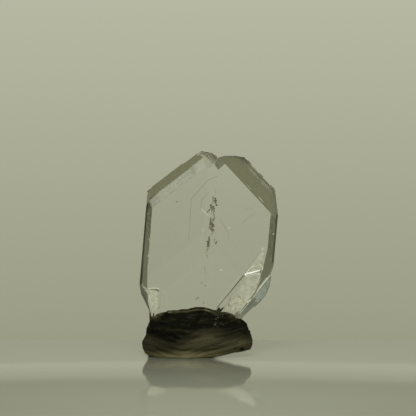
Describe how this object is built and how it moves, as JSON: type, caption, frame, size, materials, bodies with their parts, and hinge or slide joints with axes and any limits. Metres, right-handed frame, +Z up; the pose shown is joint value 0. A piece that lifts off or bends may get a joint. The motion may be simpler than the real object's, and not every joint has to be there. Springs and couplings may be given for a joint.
{
  "type": "japan law twin quartz",
  "caption": "Clear, flattened quartz crystals twinned into a shield with a notched top and small side crystals, stood upright in a lump of dark mounting putty for display.",
  "frame": {"origin": "on the surface that the putty stands on, under the middle of the whole object's box", "axes": "+Z up, +X to the right across the crystal's broad face, +Y away from the viewer, through the plate's thickness"},
  "size_m": [0.025, 0.0131, 0.0369],
  "materials": {
    "clear_quartz": "colourless and see-through with bright flat growth faces, a few dark and rusty flecks along the twin plane, frosty where small crystals grow on",
    "putty": "dull, dark grey-brown putty with kneading streaks, folds and a few glistening grains"
  },
  "bodies": {
    "root": {"twin_crystal": "clear_quartz", "mounting_putty": "putty"}
  },
  "joints": []
}
